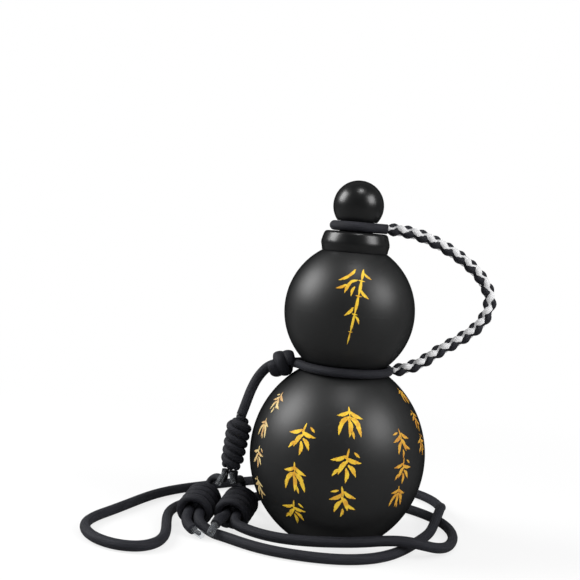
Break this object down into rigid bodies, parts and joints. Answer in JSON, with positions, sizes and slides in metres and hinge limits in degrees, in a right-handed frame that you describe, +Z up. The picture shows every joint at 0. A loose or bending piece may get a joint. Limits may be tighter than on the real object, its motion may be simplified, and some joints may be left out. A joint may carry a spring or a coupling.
{
  "type": "gourd water bottle",
  "caption": "Gourd-shaped stoneware water bottle with a ball stopper on a braided tether, and a knotted cord strap lying round its foot.",
  "frame": {"origin": "on the table plane, at the middle of the foot ring", "axes": "+Z up along the bottle's axis of turning; -Y towards the marked front; the waist knot and the strap's knots are on the -X side, the tether on the +X side"},
  "size_m": [0.2206, 0.188, 0.204],
  "materials": {
    "stoneware": "matte black body with a soft sheen and gold brush marks",
    "glazed_stoneware": "smooth black glaze",
    "silicone": "soft translucent silicone",
    "black_cord": "fine-braided polyester cord",
    "two_colour_braid": "round braid of black and white cords",
    "clear_sleeve": "clear shrink sleeve"
  },
  "bodies": {
    "bottle": {"lower_bulb": "stoneware", "upper_bulb": "stoneware", "neck": "stoneware", "waist_loop": "black_cord", "waist_knot": "black_cord", "hanger_cord": "black_cord", "snake_knot": "black_cord", "snake_strand_left": "black_cord", "snake_strand_right": "black_cord", "snake_tip_left": "clear_sleeve", "snake_tip_right": "clear_sleeve", "strap_knot_left": "black_cord", "strap_knot_right": "black_cord", "tail_left": "black_cord", "tail_right": "black_cord", "tail_tip_left": "clear_sleeve", "tail_tip_right": "clear_sleeve", "strap_outer": "black_cord", "strap_inner": "black_cord", "tether_braid": "two_colour_braid"},
    "cap_cord": {"stopper_loop": "black_cord"},
    "stopper": {"stopper": "glazed_stoneware", "stopper_seal": "silicone"}
  },
  "joints": [
    {"name": "stopper_lift", "type": "slide", "parent": "bottle", "child": "cap_cord", "axis": [0, 0, 1], "range_m": [0, 0.03], "deforming": ["tether_braid"]},
    {"name": "stopper_twist", "type": "hinge", "parent": "cap_cord", "child": "stopper", "pos_m": [0, 0, 0.19], "axis": [0, 0, 1], "continuous": true}
  ]
}
